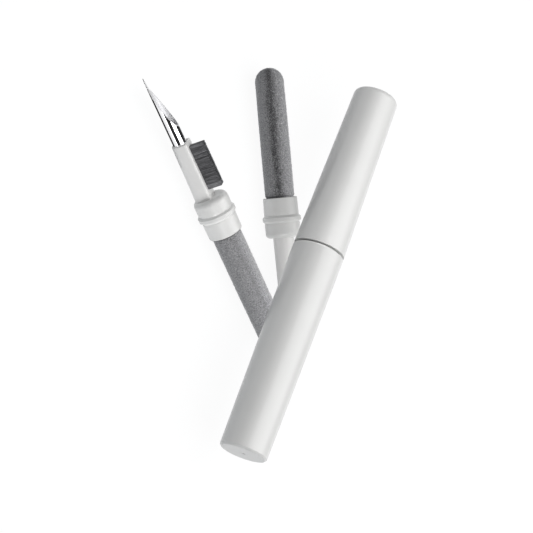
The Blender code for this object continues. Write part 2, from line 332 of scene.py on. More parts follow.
def bump(tree, shader, *layers):
    """Stacked bumps of (height, depth in metres) on a shader."""
    normal = None
    for height, depth in layers:
        inputs = {"Height": height, "Distance": depth, "Strength": 1.0}
        if normal:
            inputs["Normal"] = normal
        normal = add_node(tree, "Bump", inputs).outputs["Normal"]
    tree.links.new(normal, shader.inputs["Normal"])


def white_plastic(name, dark, light, smooth, rough, grain):
    """Satin moulded plastic: a faint cloudy tone, fine spark grain and lengthwise handling marks."""
    material, tree, shader = new_material(name)
    spot = local_place(tree)
    cloud = noise_value(tree, spot, 0.12, 3.0)
    tree.links.new(ramp(tree, cloud, (0.3, dark), (0.7, light)), shader.inputs["Base Color"])
    marks = noise_value(tree, local_place(tree, (1.0, 1.0, 0.03)), 9.0, 3.0, 0.6)
    tree.links.new(between(tree, marks, smooth, rough, 0.25, 0.75), shader.inputs["Roughness"])
    bump(tree, shader, (noise_value(tree, spot, 14.0, 2.0), grain), (marks, grain * 0.4))
    shader.inputs["IOR"].default_value = 1.5
    shader.inputs["Coat Weight"].default_value = 0.2
    shader.inputs["Coat Roughness"].default_value = 0.09
    return material


def chrome(outer_radius, offset):
    """Mirror-polished steel, with faint lengthwise polishing marks and a dull, pale bore."""
    material, tree, shader = new_material("chrome")
    lines = noise_value(tree, local_place(tree, (1.0, 1.0, 0.02)), 12.0, 2.0, 0.5)
    haze = noise_value(tree, local_place(tree), 0.5, 3.0)
    tint = ramp(tree, haze, (0.3, (0.84, 0.84, 0.86)), (0.7, (0.90, 0.90, 0.91)))
    tree.links.new(tint, shader.inputs["Base Color"])
    spot = add_node(tree, "Attribute", attribute_name="local").outputs["Vector"]
    centred = vectors(tree, "SUBTRACT", spot, (offset, 0.0, 0.0))[0]
    flat = vectors(tree, "MULTIPLY", centred, (1.0, 1.0, 0.0))[0]
    radius = vectors(tree, "LENGTH", flat)["Value"]
    wall = (outer_radius - 0.2, outer_radius - 0.1)     # the mm over which bore turns to outside
    tree.links.new(between(tree, radius, 0.12, 1.0, *wall), shader.inputs["Metallic"])
    polish = between(tree, lines, 0.02, 0.06, 0.3, 0.7)
    dullness = between(tree, radius, 0.5, 0.0, *wall)
    tree.links.new(maths(tree, "ADD", polish, dullness), shader.inputs["Roughness"])
    bump(tree, shader, (lines, 1.0e-7))
    return material


def painted_shade_strip(tree, spot, band_angle, depth):
    """Painted shade: a dark strip along one side, with a peppered edge."""
    parts = add_node(tree, "SeparateXYZ", {0: spot}).outputs
    turn = maths(tree, "ARCTAN2", parts[1], parts[0])
    wrapped = maths(tree, "WRAP", turn, band_angle - math.pi, band_angle + math.pi)
    drift = between(tree, noise_value(tree, local_place(tree, (1.0, 1.0, 0.2)), 0.8, 2.0), -0.25, 0.25)
    centre = maths(tree, "ADD", drift, band_angle)
    away = maths(tree, "ABSOLUTE", maths(tree, "SUBTRACT", wrapped, centre))
    pepper = between(tree, noise_value(tree, spot, 2.6, 3.0, 0.9), 0.42, -0.42, 0.3, 0.7)
    edge = maths(tree, "SUBTRACT", away, pepper)
    deep, half = 1.0 - 0.72 * depth, 1.0 - 0.42 * depth
    return ramp(tree, edge, (0.0, grey(deep)), (0.16, grey(half)), (0.36, grey(1.0)))


def flock(name, band_angle, depth):
    """Grey flocking: speckled fibres, a sheen at the edges and a dark strip of painted shade."""
    material, tree, shader = new_material(name)
    spot = local_place(tree)
    speckle = noise_value(tree, spot, 3.0, 2.0, 0.8)
    tone = ramp(tree, speckle, (0.34, (0.28, 0.28, 0.29)), (0.5, (0.50, 0.50, 0.515)),
                (0.66, (0.76, 0.76, 0.78)))
    own = add_node(tree, "NewGeometry").outputs["Random Per Island"]
    fibres = ramp(tree, own, (0.0, grey(0.55)), (1.0, (1.4, 1.4, 1.41)))
    # The fibre colour is darkened by the strip of painted shade.
    colour = times(tree, times(tree, tone, fibres), painted_shade_strip(tree, spot, band_angle, depth))
    tree.links.new(colour, shader.inputs["Base Color"])
    tree.links.new(between(tree, speckle, 0.85, 1.0), shader.inputs["Roughness"])
    bump(tree, shader, (speckle, 1.2e-4), (noise_value(tree, spot, 1.2, 2.0), 8.0e-5))
    shader.inputs["Specular IOR Level"].default_value = 0.2
    shader.inputs["Sheen Weight"].default_value = 1.0
    shader.inputs["Sheen Roughness"].default_value = 0.38
    shader.inputs["Sheen Tint"].default_value = (0.92, 0.92, 0.94, 1.0)
    return material


def nylon(name, dark, light, start, end):
    """Charcoal nylon: each bristle has its own tone, the tufts are paler at the collar's end, partly
    as painted light, and painted shade darkens them by the partings.
    """
    material, tree, shader = new_material(name)
    spot = local_place(tree)
    own = add_node(tree, "NewGeometry").outputs["Random Per Island"]
    tone = ramp(tree, own, (0.0, dark), (1.0, light))
    height = add_node(tree, "SeparateXYZ", {0: spot}).outputs[2]
    share = between(tree, height, 0.0, 1.0, start, end)
    # Painted shade by the partings, and partly painted light in the pale band at the collar's end.
    bands = ramp(tree, share, *((place_on, grey(level)) for place_on, level in TUFT_TONES_AND_SHADE))
    clumps = noise_value(tree, local_place(tree, (0.12, 0.5, 1.0)), 1.6, 3.0, 0.8)
    streaked = ramp(tree, clumps, (0.38, grey(0.6)), (0.62, grey(1.4)))
    colour = times(tree, times(tree, tone, bands), streaked)
    tree.links.new(colour, shader.inputs["Base Color"])
    streaks = noise_value(tree, local_place(tree, (0.15, 1.0, 1.0)), 6.0, 3.0, 0.7)
    tree.links.new(between(tree, streaks, 0.38, 0.62), shader.inputs["Roughness"])
    bump(tree, shader, (streaks, 1.0e-5))
    shader.inputs["Specular IOR Level"].default_value = 0.35
    return material


def pale_floor():
    """A plain pale floor that keeps only a trace of the shadows when it is looked at."""
    material, tree, shader = new_material("pale_floor")
    spot = add_node(tree, "TexCoord").outputs["Object"]
    tone = ramp(tree, noise_value(tree, spot, 6.0, 4.0), (0.3, (0.66, 0.68, 0.70)),
                (0.7, (0.70, 0.72, 0.74)))
    tree.links.new(tone, shader.inputs["Base Color"])
    rough = between(tree, noise_value(tree, spot, 40.0, 3.0), 0.75, 0.9)
    tree.links.new(rough, shader.inputs["Roughness"])
    shader.inputs["Specular IOR Level"].default_value = 0.1
    glow = add_node(tree, "Emission", {"Color": (1.0, 1.0, 1.0, 1.0), "Strength": 1.07})
    rays = add_node(tree, "LightPath").outputs
    seen = maths(tree, "MAXIMUM", rays["Is Camera Ray"], rays["Is Glossy Ray"])
    share = between(tree, seen, 0.0, FLOOR_GLOW)
    mixed = add_node(tree, "MixShader", {0: share, 1: shader.outputs[0], 2: glow.outputs[0]})
    tree.links.new(mixed.outputs[0], tree.nodes["Material Output"].inputs["Surface"])
    return material


def shadow_card():
    """Matt black card, with a little fibre in it, used as painted shadow."""
    material, tree, shader = new_material("shadow_card")
    fibre = noise_value(tree, add_node(tree, "TexCoord").outputs["Object"], 900.0, 3.0)
    tone = ramp(tree, fibre, (0.3, grey(0.01)), (0.7, grey(0.02)))
    tree.links.new(tone, shader.inputs["Base Color"])
    shader.inputs["Roughness"].default_value = 0.9
    return material


# The shells

RIB_COUNT = 6
RIB_HALF_ANGLE = math.radians(4.9)
RIB_LOW, RIB_HIGH = 1.6, 5.9       # mm in from the mouth where the ribs start and stop
SEAM_INSET = 0.14                  # mm that each mouth stands back, so that the seam reads dark
LIP_THICKNESS = 0.25               # mm of a locating lip along the bore
BARREL_LIP = 0.28                  # mm that the barrel's lip stands into the seam
SKIN_INSET = 0.04                  # mm that a smooth skin stands in from the frame's corners
END_WALL = 1.5                     # mm of plastic behind the closed end
# Depths in the bore, and how much the bore has narrowed there, in mm: rings where the ribs step
BORE_STEPS = ((1.5, 0.01), (1.65, 0.02), (1.8, 0.03), (5.7, 0.05), (5.85, 0.06), (6.0, 0.07))


def ribbed(bore_limit, rib_radius):
    """A bore that steps in to short ribs."""
    def shape(r, z, angle):
        pitch = math.tau / RIB_COUNT
        off = abs(angle % pitch - pitch / 2)
        if r < bore_limit and RIB_LOW < z < RIB_HIGH and off < RIB_HALF_ANGLE:
            return rib_radius
        return r
    return shape


def measured_shell(node, matrix):
    """A shell's sizes in its own frame: length, then mouth, end, bore and rib radii."""
    points, radius = local_points(node, matrix)
    height = points[:, 2]
    length = height.max()
    mouth = radius.max() - SKIN_INSET
    end = radius[height > length - 2.0].max() - SKIN_INSET
    bore = radius[np.abs(height) < 0.02].min()
    rib = radius[height < 8.0].min()
    return length, mouth, end, bore, rib


def mouth_corners(mouth, bore, rounding, lip):
    """A shell's mouth: a rounded edge, and a locating lip where the shell has one."""
    edge = (mouth, SEAM_INSET, rounding)
    if not lip:
        return [edge, (bore, SEAM_INSET, 0.2)]
    return [edge, (bore + LIP_THICKNESS, SEAM_INSET, 0), (bore + LIP_THICKNESS, -lip, 0.05),
            (bore, -lip, 0.1)]


def make_shell(name, node, body, matrix, material, end_corners, mouth_rounding, lip=0.0):
    """A thin shell: outside, mouth, ribbed bore and end wall, turned in one piece."""
    length, mouth, end, bore, rib = measured_shell(node, matrix)
    inside = end - (mouth - bore)
    corners = end_corners(length, end) + mouth_corners(mouth, bore, mouth_rounding, lip)
    corners += [(bore - narrowing, depth, 0) for depth, narrowing in BORE_STEPS]
    corners += [(inside, length - END_WALL - 1.0, 0), (inside - 1.0, length - END_WALL, 0.5),
                (0.0, length - END_WALL, 0)]
    shape = turned(rounded(corners), shape=ribbed(bore + 0.01, rib))
    piece = place(name, shape, matrix, material, body)
    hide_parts(node)


def cap_end(length, radius):
    """The cap's rounded closed end."""
    return [(0.0, length, 0), (radius, length, 1.6)]


def barrel_end(length, radius):
    """The barrel's flat closed end, with a soft bevel and a small moulding dimple."""
    return [(0.0, length - 0.4, 0), (0.58, length - 0.4, 0.08), (0.7, length, 0.05),
            (radius - 0.55, length, 0.25), (radius, length - 0.6, 0.3)]


# The tools

RIM_BAND = 0.05                    # mm from an end that still count as its rim
SOCKET_GAP = 0.3                   # mm between a plug and the bottom or side of its socket
ARM_CORNER = 0.75                  # mm of rounding where the arm's flat side meets its back
SCOOP_WALL, SCOOP_STEPS = 0.32, 48
BRISTLE_PITCH, BRISTLE_RADIUS, BRISTLE_SIDES = 0.172, 0.078, 5
BRISTLE_ROOM = BRISTLE_RADIUS + 0.01
# Partings between tufts: the share of the brush's length, and how far the bristles lean away
PARTINGS = ((0.125, 0.05), (0.69, 0.09), (0.79, 0.05), (0.87, 0.07), (0.945, 0.05))
SPONGE_AROUND, SPONGE_ALONG = 150, 240
FUZZ_ROOM, FUZZ_END_ROOM = 0.16, 0.12      # mm kept for the fibres, round the sponge and past its end
FIBRES = 9000


class ToolSizes:
    """A tool's sizes in its own frame, measured from its nodes."""

    def __init__(self, tool, matrix):
        self.measure_collar(*local_points(tool + "_collar", matrix))
        arm, _ = local_points(tool + "_arm", matrix)
        metal, _ = local_points(tool + "_metal_scoop", matrix)
        self.measure_metal(metal)
        self.measure_arm(arm)
        self.brush_low, self.brush_high = span(tool + "_brush_bristles", matrix)
        self.strip_low, self.strip_high = span(tool + "_brush_base", matrix)
        stem, radius = local_points(tool + "_sponge_stem", matrix)
        self.stem_low, self.stem_high = stem[:, 2].min(), stem[:, 2].max()
        self.stem_radius = radius.max()
        sponge, radius = local_points(tool + "_flocked_sponge", matrix)
        self.sponge_low, self.sponge_high = sponge[:, 2].min(), sponge[:, 2].max()
        self.sponge_radius = radius.max()

    def measure_collar(self, collar, radius):
        """The bead, the tip half and the rim and socket of the sponge half."""
        height = collar[:, 2]
        self.bead = radius.max()
        self.tip_end, self.sponge_side = height.max(), height.min()
        self.tip_radius = radius[(height > 2.0) & (height < self.tip_end - 1.0)].max()
        rim = radius[height < self.sponge_side + RIM_BAND]
        self.rim, self.socket = rim.max(), rim.min()

    def measure_metal(self, metal):
        """The tube's ends, radius and place across the tool."""
        root = metal[:, 2].min()
        self.metal_end = metal[:, 2].max()
        ring = metal[metal[:, 2] < root + RIM_BAND][:, 0]
        self.metal_x = (ring.min() + ring.max()) / 2
        self.metal_radius = (ring.max() - ring.min()) / 2
        self.arm_end = root - 0.3

    def measure_arm(self, arm):
        """The arm's front, and its back and half width at both ends."""
        height = arm[:, 2]
        self.arm_root, self.peg_end = height.min(), height.max()
        self.front = arm[:, 0].max()
        root = arm[height < self.arm_root + RIM_BAND]
        self.root_back, self.root_half = root[:, 0].min(), root[:, 1].max()
        end = arm[(height > self.arm_end - 0.5) & (height < self.arm_end - 0.3)]
        self.end_back, self.end_half = end[:, 0].min(), end[:, 1].max()


def arc(x, y, radius, start, sweep, steps):
    """Points along an arc, by its centre, radius, first angle and sweep in degrees."""
    angles = [math.radians(start + sweep * k / steps) for k in range(steps + 1)]
    return [(x + radius * math.cos(angle), y + radius * math.sin(angle)) for angle in angles]


def arm_section(z, half, back, front, inset):
    """The arm's D section at a height: a flat front with rounded corners and a round back."""
    half, back, front = half - inset, back + inset, front - inset
    corner = max(ARM_CORNER - inset, 0.1)
    points = arc(front - corner, half - corner, corner, 0, 90, 6)
    points += arc(back + half, 0.0, half, 90, 180, 36)
    points += arc(front - corner, corner - half, corner, 270, 90, 6)
    return [(x, y, z) for x, y in points]


def arm_rings(sizes, low, high, grow=0.0, fillet=0.0):
    """The arm's sections from one height to another, with a fillet round its end."""
    heights = [(low, 0.0), (high - fillet - 0.15, 0.0)]
    if fillet:
        for x, y in arc(0.0, 0.0, fillet, 0, 90, 5):
            heights.append((high - fillet + y, fillet - x))
    else:
        heights.append((high, 0.0))
    rings = []
    for z, inset in heights:
        share = (z - sizes.tip_end) / (sizes.arm_end - sizes.tip_end)
        half = sizes.root_half + (sizes.end_half - sizes.root_half) * share
        back = sizes.root_back + (sizes.end_back - sizes.root_back) * share
        rings.append(arm_section(z, half, back, sizes.front, inset - grow))
    return rings


def make_collar(tool, body, matrix, sizes, material):
    """The ring between the tool's ends, with its bead, its rounded tip end and its sockets."""
    s = sizes
    side, bead = s.rim + 0.1, s.bead - 0.03
    bore, bottom = s.stem_radius + SOCKET_GAP, s.stem_high + SOCKET_GAP
    corners = [
        (0.0, s.tip_end, 0),
        (s.tip_radius, s.tip_end, 1.4),
        (s.tip_radius, 1.55, 0.15),
        (s.tip_radius - 0.08, 1.12, 0.12),         # the groove above the bead
        (bead, 0.6, 0.22),
        (bead, -0.45, 0.28),
        (side - 0.06, -1.1, 0.2),                  # the groove below the bead
        (side, -1.5, 0.15),
        (s.rim, s.sponge_side, 0.3),
        (s.socket, s.sponge_side, 0.12),
        (s.socket, s.sponge_high + SOCKET_GAP, 0),
        (bore, s.sponge_high + SOCKET_GAP, 0),
        (bore, bottom, 0),
        (0.0, bottom, 0),
    ]
    socket = lofted(arm_rings(s, s.arm_root - SOCKET_GAP, s.tip_end + 1.0, grow=0.03))
    shape = carved(turned(rounded(corners), 120), socket)
    piece = place(tool + "_collar_ring", shape, matrix, material, body)
    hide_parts(tool + "_collar")


def make_arm(tool, body, matrix, sizes, material):
    """The D-section arm, with a brush slot, a seat for the metal tube and the peg inside it."""
    s = sizes
    solid = lofted(arm_rings(s, s.arm_root, s.arm_end, fillet=0.4))
    gap = 0.04
    slot = box((s.strip_low[0] - 0.05, s.brush_low[1] - gap, s.brush_low[2] - gap),
               (s.front + 1.0, s.brush_high[1] + gap, s.brush_high[2] + gap))
    floor_z, open_z, wide = s.arm_end - 0.28, s.arm_end + 0.5, s.metal_radius + 0.08
    seat = turned([(0.0, floor_z), (wide, floor_z), (wide, open_z), (0.0, open_z)], 72)
    shape = carved(solid, slot, moved(seat, s.metal_x))
    piece = place(tool + "_arm_handle", shape, matrix, material, body)
    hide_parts(tool + "_arm")
    peg, peg_root = s.metal_radius - 0.65, s.arm_end - 0.6
    profile = rounded([(0.0, peg_root, 0), (peg, peg_root, 0.1), (peg, s.peg_end, 0.3),
                       (0.0, s.peg_end, 0)])
    shape = moved(turned(profile, 48), s.metal_x)
    plug = place(tool + "_arm_peg", shape, matrix, material, body)


def scoop_rings(s):
    """Heights and open half-angles along the scoop: (z, outer, inner), pi where it is whole.

    The cut starts at 0.23 of the tube's length, runs down its side to 0.85, and leaves a narrow
    strip that tapers into the needle.
    """
    length = s.metal_end - s.arm_end - 0.15
    inner_ratio = (s.metal_radius - SCOOP_WALL) / s.metal_radius
    rings = [(s.arm_end - 0.22, math.pi, math.pi), (s.arm_end + 0.1, math.pi, math.pi),
             (s.arm_end + length * 0.12, math.pi, math.pi)]
    land, deep = math.acos(-inner_ratio), math.acos(0.97)
    angles = [math.pi + (land - math.pi) * k / 8 for k in range(9)]
    angles += [land + (deep - land) * k / 44 for k in range(1, 45)]
    for outer in angles:
        height = -math.cos(outer)
        share = 0.23 + 0.62 * max((1.0 - height) / 1.97, 0.0) ** (1 / 0.8)
        flat = height / inner_ratio
        inner = math.pi if flat >= 0.99999 else math.acos(max(-1.0, min(1.0, -flat)))
        inner = max(inner, 0.8 * outer) if height < 0 else inner
        rings.append((s.arm_end + length * share, outer, inner))
    for k in range(1, 15):
        share = k / 14
        outer = deep * (1 - share) ** 1.15 + 0.062 * share
        rings.append((s.arm_end + length * (0.85 + 0.15 * share), outer, outer * (0.8 - 0.2 * share)))
    return rings


def scoop_corners(s, rings):
    """At each ring an outer row of corners and then an inner one, with a thinner wall at the tip."""
    verts = []
    for index, (z, outer, inner) in enumerate(rings):
        tip = max(0.0, (index - len(rings) + 15) / 14)
        thick = SCOOP_WALL * (1.0 - 0.45 * tip)
        for radius, reach in ((s.metal_radius, outer), (s.metal_radius - thick, inner)):
            for k in range(SCOOP_STEPS + 1):
                angle = math.pi + reach * (2 * k / SCOOP_STEPS - 1)
                verts.append((s.metal_x + radius * math.cos(angle), radius * math.sin(angle), z))
    return verts


def scoop_faces(rings):
    """Both skins, the cut edges that join them where the tube is open, and the two ends."""
    last = SCOOP_STEPS
    starts = [2 * (last + 1) * i for i in range(len(rings))]
    whole = max(i for i, ring in enumerate(rings) if ring[2] == math.pi)
    faces = []
    for i in range(len(rings) - 1):
        o, n = starts[i], starts[i + 1]
        oi, ni = o + last + 1, n + last + 1
        for k in range(last):
            faces.append([o + k, o + k + 1, n + k + 1, n + k])
            faces.append([oi + k, ni + k, ni + k + 1, oi + k + 1])
        if rings[i + 1][1] == math.pi:
            continue
        if i + 1 < whole:
            faces.append([o, n, n + last, o + last])
        elif i + 1 == whole:
            faces += [[o, n, ni], [o, ni, o + last], [o + last, ni, n + last]]
        else:
            faces += [[o, n, ni, oi], [o + last, oi + last, ni + last, n + last]]
    o, oi = starts[0], starts[0] + last + 1
    faces += [[o + k, oi + k, oi + k + 1, o + k + 1] for k in range(last)]
    o, oi = starts[-1], starts[-1] + last + 1
    faces += [[o + k, o + k + 1, oi + k + 1, oi + k] for k in range(last)]
    return [list(dict.fromkeys(face)) for face in faces]


def make_scoop(tool, body, matrix, sizes, material):
    """The metal tube, cut like a quill into an open scoop that ends in a needle."""
    rings = scoop_rings(sizes)
    shape = (scoop_corners(sizes, rings), scoop_faces(rings))
    piece = place(tool + "_quill_scoop", shape, matrix, material, body, 40)
    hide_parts(tool + "_metal_scoop")


def bristle_roots(low, high, rng):
    """Where the bristles stand: staggered rows, a little uneven."""
    ys = np.arange(low[1] + BRISTLE_ROOM, high[1] - BRISTLE_ROOM + 1e-6, BRISTLE_PITCH)
    zs = np.arange(low[2] + BRISTLE_ROOM, high[2] - BRISTLE_ROOM + 1e-6, BRISTLE_PITCH * 0.9)
    y, z = np.meshgrid(ys, zs)
    y = y + (np.arange(len(zs)) % 2)[:, None] * BRISTLE_PITCH / 2
    y, z = y.ravel(), z.ravel()
    keep = y < high[1] - BRISTLE_ROOM + 1e-6
    y, z = y[keep], z[keep]
    return y + rng.uniform(-0.02, 0.02, len(y)), z + rng.uniform(-0.02, 0.02, len(z))


def bristle_ends(y, z, low, high, rng):
    """Where the bristles end: heights, and places across that lean away from the partings."""
    share = (z - low[2]) / (high[2] - low[2])
    lean = np.zeros(len(z))
    for part, push in PARTINGS:
        lean += push * np.exp(-np.abs(share - part) / 0.035) * np.sign(share - part)
    end_z = z + (lean + rng.normal(0.0, 0.025, len(z)))
    end_y = y + rng.normal(0.0, 0.03, len(y))
    tips = high[0] - 0.02 - np.abs(rng.normal(0.0, 0.05, len(y)))
    end_y = np.clip(end_y, low[1] + BRISTLE_ROOM, high[1] - BRISTLE_ROOM)
    end_z = np.clip(end_z, low[2] + BRISTLE_ROOM, high[2] - BRISTLE_ROOM)
    return tips, end_y, end_z


def bristle_tubes(base, y, z, tips, end_y, end_z):
    """Corners and faces of the bristles: thin bent tubes with a rounded tip."""
    sides = BRISTLE_SIDES
    stations = ((0.0, 1.0, 0.0), (0.55, 1.0, 0.35), (0.96, 0.95, 0.95), (1.0, 0.5, 1.0))
    turns = [math.tau * k / sides for k in range(sides)]
    verts, faces = [], []
    for i in range(len(y)):
        first = len(verts)
        for along, size, share in stations:
            x, radius = base + (tips[i] - base) * along, BRISTLE_RADIUS * size
            cy, cz = y[i] + (end_y[i] - y[i]) * share, z[i] + (end_z[i] - z[i]) * share
            verts += [(x, cy + radius * math.cos(t), cz + radius * math.sin(t)) for t in turns]
        for a in range(first, len(verts) - sides, sides):
            faces += [[a + k, a + (k + 1) % sides, a + sides + (k + 1) % sides, a + sides + k]
                      for k in range(sides)]
        faces.append([first + k for k in reversed(range(sides))])
        faces.append([len(verts) - sides + k for k in range(sides)])
    return verts, faces


def make_bristles(tool, body, matrix, sizes, material, seed):
    """The brush: rows of single nylon bristles, in tufts that part here and there."""
    low, high = sizes.brush_low, sizes.brush_high
    rng = np.random.default_rng(seed)
    y, z = bristle_roots(low, high, rng)
    shape = bristle_tubes(sizes.strip_high[0], y, z, *bristle_ends(y, z, low, high, rng))
    piece = place(tool + "_bristle_rows", shape, matrix, material, body, 60)
    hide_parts(tool + "_brush_bristles")


def make_strip(tool, body, matrix, sizes, material):
    """The nylon strip that the bristles stand on, with its edges rounded."""
    low, high = sizes.strip_low, sizes.strip_high
    rounding, bevel = 0.12, 0.1
    rings = []
    for z, inset in ((low[2], bevel), (low[2] + bevel, 0.0), (high[2] - bevel, 0.0), (high[2], bevel)):
        ring = []
        for x, y, start in ((high[0] - rounding, high[1] - rounding, 0),
                            (low[0] + rounding, high[1] - rounding, 90),
                            (low[0] + rounding, low[1] + rounding, 180),
                            (high[0] - rounding, low[1] + rounding, 270)):
            ring += [(px, py, z) for px, py in arc(x, y, rounding - inset, start, 90, 3)]
        rings.append(ring)
    piece = place(tool + "_brush_strip", lofted(rings), matrix, material, body)
    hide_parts(tool + "_brush_base")


def make_stem(tool, body, matrix, sizes, material):
    """The rod inside the sponge, with shallow grip grooves."""
    s = sizes
    groove = s.stem_radius - 0.15
    corners = [(0.0, s.stem_high, 0), (s.stem_radius, s.stem_high, 0.15)]
    for k in range(9):
        z = s.stem_high - 6.0 - 3.0 * k
        corners += [(s.stem_radius, z, 0.1), (groove, z - 0.2, 0.1), (groove, z - 0.6, 0.1),
                    (s.stem_radius, z - 0.8, 0.1)]
    corners += [(s.stem_radius, s.stem_low, 0.5), (0.0, s.stem_low, 0)]
    piece = place(tool + "_stem_rod", turned(rounded(corners, 4, 0.0), 48), matrix, material, body)
    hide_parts(tool + "_sponge_stem")


def sponge_outline(s, share):
    """The sponge's radius, height and tilt at a share of its outside, from collar to end."""
    radius = s.sponge_radius - FUZZ_ROOM
    dome = s.sponge_low + FUZZ_END_ROOM + radius            # the height where the round end starts
    straight = s.sponge_high - dome
    run = share * (straight + radius * math.pi / 2)
    if run < straight:
        z = s.sponge_high - run
        waist = 0.27 * math.exp(-(run / 3.2) ** 2) + 0.09 * math.exp(-((straight - run) / 9.0) ** 2)
        pinch = 0.30 * math.exp(-((z - s.sponge_side + 0.08) / 0.28) ** 2)
        return radius - waist - pinch, z, 0.0
    angle = (run - straight) / radius
    taper = 0.09 * math.cos(angle)
    return (radius - taper) * math.cos(angle), dome - radius * math.sin(angle), angle


def sponge_sleeve(s, seed):
    """Corners and faces of the sponge's sleeve, with an uneven outside."""
    bore, bottom = s.stem_radius + 0.3, s.stem_low - 0.3
    profile = [(0.0, bottom), (bore, bottom), (bore, s.sponge_high)]
    first = 1 + (len(profile) - 1) * SPONGE_AROUND
    profile += [sponge_outline(s, k / SPONGE_ALONG)[:2] for k in range(SPONGE_ALONG)]
    profile.append((0.0, s.sponge_low + FUZZ_END_ROOM))
    verts, faces = turned(profile, SPONGE_AROUND)
    offset = Vector((seed * 7.3, seed * 3.1, seed * 5.7))
    for i in range(first, len(verts)):
        point = Vector(verts[i])
        depth = 0.08 * noise.noise((point + offset) * 1.3) + 0.09 * noise.noise((point + offset) * 3.6)
        centre = Vector((0.0, 0.0, max(point.z, s.sponge_low + s.sponge_radius)))
        verts[i] = tuple(point + (point - centre).normalized() * depth)
    return verts, faces


def normalised(rows):
    """Rows of vectors scaled to length one."""
    return rows / np.linalg.norm(rows, axis=1, keepdims=True)


def fibre_corners(s, seed):
    """Four corners for each fibre: three round its root, inside the sleeve, and one at its tip."""
    rng = np.random.default_rng(seed)
    shares = rng.uniform(0.06, 1.0, FIBRES)
    turns = rng.uniform(0.0, math.tau, FIBRES)
    spots = np.array([sponge_outline(s, share) for share in shares])
    keep = rng.uniform(0.0, 1.0, FIBRES) < np.clip(spots[:, 0] / s.sponge_radius, 0.02, 1.0)
    turns, (radius, height, tilt) = turns[keep], spots[keep].T
    count = len(turns)
    out = np.stack([np.cos(turns) * np.cos(tilt), np.sin(turns) * np.cos(tilt), -np.sin(tilt)], 1)
    root = np.stack([radius * np.cos(turns), radius * np.sin(turns), height], 1)
    lean = rng.normal(0.0, 0.55, (count, 3))
    grow = normalised(out + lean - out * (lean * out).sum(1, keepdims=True))
    length = rng.uniform(0.10, 0.24, count)[:, None]
    side = normalised(np.cross(grow, rng.normal(0.0, 1.0, (count, 3))))
    other = np.cross(grow, side)
    thick = rng.uniform(0.028, 0.042, count)[:, None]
    sunk = 0.06
    base = root - out * sunk
    corners = [base + thick * (side * math.cos(t) + other * math.sin(t))
               for t in (0.0, math.tau / 3, 2 * math.tau / 3)]
    corners = np.stack([*corners, base + grow * (length + sunk)], 1).reshape(-1, 3)
    return [tuple(corner) for corner in corners.tolist()]


def make_sponge(tool, body, matrix, sizes, material, seed):
    """The flocked foam tip: an uneven round-ended sleeve, and thousands of short fibres on it."""
    verts, faces = sponge_sleeve(sizes, seed)
    start = len(verts)
    verts += fibre_corners(sizes, seed)
    for i in range(start, len(verts), 4):
        faces += [[i, i + 1, i + 3], [i + 1, i + 2, i + 3], [i + 2, i, i + 3], [i + 2, i + 1, i]]
    piece = place(tool + "_flock_sponge", (verts, faces), matrix, material, body, 80)
    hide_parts(tool + "_flocked_sponge")


# The stage

LIGHT_AIM = (0.0, 0.0, 0.01)
FLOOR_HALF = 6.0                   # metres from the floor's middle to its sides
FLAG_REACH, FLAG_HALF, FLAG_HEIGHT = 8.0, 7.0, 0.1      # mm: back along the tool, half width, height

# Each softbox: its name, the pieces it lights, the pieces that shade it (None: all of them), the
# way it stands from the set, and its distance in metres, sides in metres and power in watts
SOFTBOXES = (
    ("key_pen", "pen_and_floor", None, (0.24, -0.08, 1.0), 0.6, (0.9, 0.9), 5.0),
    ("seam_strip", "barrel_piece", "pen_pieces", (-0.05, 0.97, 0.25), 0.6, (0.4, 0.15), 2.4),
    ("fill_cap", "cap_piece", None, (-0.45, 0.0, 0.89), 0.6, (0.4, 0.4), 0.8),
    ("end_barrel", "barrel_piece", None, (-0.3, -0.9, 0.3), 0.6, (0.4, 0.4), 0.3),
    ("key_left", "left_pieces", "left_pieces", (0.35, 0.4, 0.85), 0.58, (0.5, 0.5), 2.2),
    ("key_right", "right_pieces", "right_pieces", (0.35, 0.4, 0.85), 0.58, (0.5, 0.5), 1.0),
    ("front_left", "left_pieces", "left_pieces", (0.28, -0.82, 0.48), 0.6, (0.4, 0.4), 2.65),
    ("front_right", "right_pieces", "right_pieces", (-0.05, -0.82, 0.55), 0.6, (0.4, 0.4), 1.75),
    ("end_left", "left_pieces", "left_pieces", (-0.75, 0.3, 0.6), 0.6, (0.4, 0.4), 0.9),
    ("end_right", "right_pieces", "right_pieces", (-0.75, 0.3, 0.6), 0.6, (0.4, 0.4), 0.5),
    ("flock_left", "left_sponge", "left_sponge", (0.6, 0.45, 0.66), 0.6, (0.4, 0.4), 1.5),
    ("flock_right", "right_sponge", "right_sponge", (0.6, 0.45, 0.66), 0.6, (0.4, 0.4), 2.1),
    ("metal_low", "metal_pieces", "metal_pieces", (-0.15, -0.97, 0.0), 0.6, (0.4, 0.14), 0.7),
    ("metal_over", "metal_pieces", "metal_pieces", (0.28, -0.25, 0.93), 0.58, (0.5, 0.5), 3.8),
)


def aimed(obj, place_point, target):
    """Put an object at a point, facing another."""
    obj.location = place_point
    obj.rotation_euler = (Vector(target) - Vector(place_point)).to_track_quat("-Z", "Y").to_euler()


